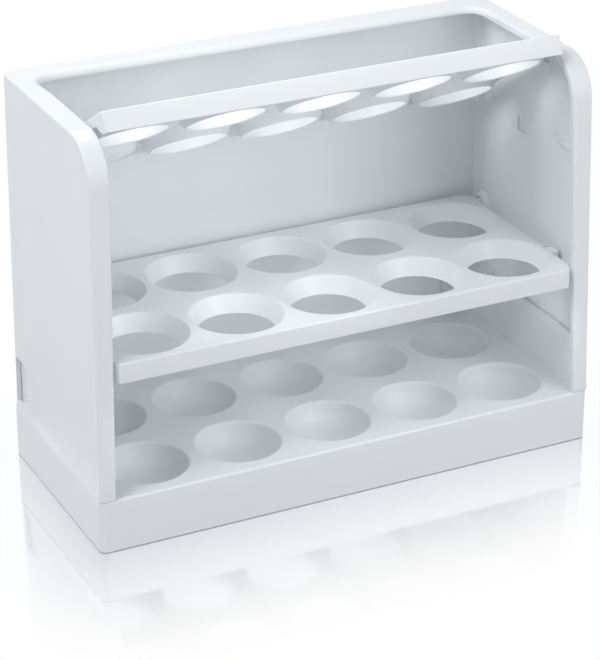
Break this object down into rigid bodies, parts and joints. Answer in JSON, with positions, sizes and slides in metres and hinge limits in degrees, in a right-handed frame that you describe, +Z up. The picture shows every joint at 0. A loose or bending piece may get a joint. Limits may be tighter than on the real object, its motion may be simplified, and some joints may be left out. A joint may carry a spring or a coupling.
{
  "type": "fridge egg rack",
  "caption": "Moulded egg rack for a fridge: base tray with shallow cups, open housing, and two hinged egg trays that flip up.",
  "frame": {"origin": "bottom centre of the base, on the surface the rack stands on", "axes": "+X to the rack's right along its long side, the open front faces -Y, +Z up"},
  "size_m": [0.25, 0.108, 0.2],
  "materials": {
    "base_plastic": "white moulded plastic, satin gloss",
    "housing_plastic": "white moulded plastic, satin gloss",
    "tray_plastic": "white moulded plastic, satin gloss"
  },
  "bodies": {
    "rack": {"base_tray": "base_plastic", "housing": "housing_plastic"},
    "middle_tray": {"middle_tray": "tray_plastic"},
    "top_tray": {"top_tray": "tray_plastic"}
  },
  "joints": [
    {"name": "middle_tray_hinge", "type": "hinge", "parent": "rack", "child": "middle_tray", "pos_m": [0, 0.043, 0.0865], "axis": [-1, 0, 0], "range_deg": [0, 32]},
    {"name": "top_tray_hinge", "type": "hinge", "parent": "rack", "child": "top_tray", "pos_m": [0, 0.043, 0.1465], "axis": [-1, 0, 0], "range_deg": [-31.9, 0]}
  ]
}
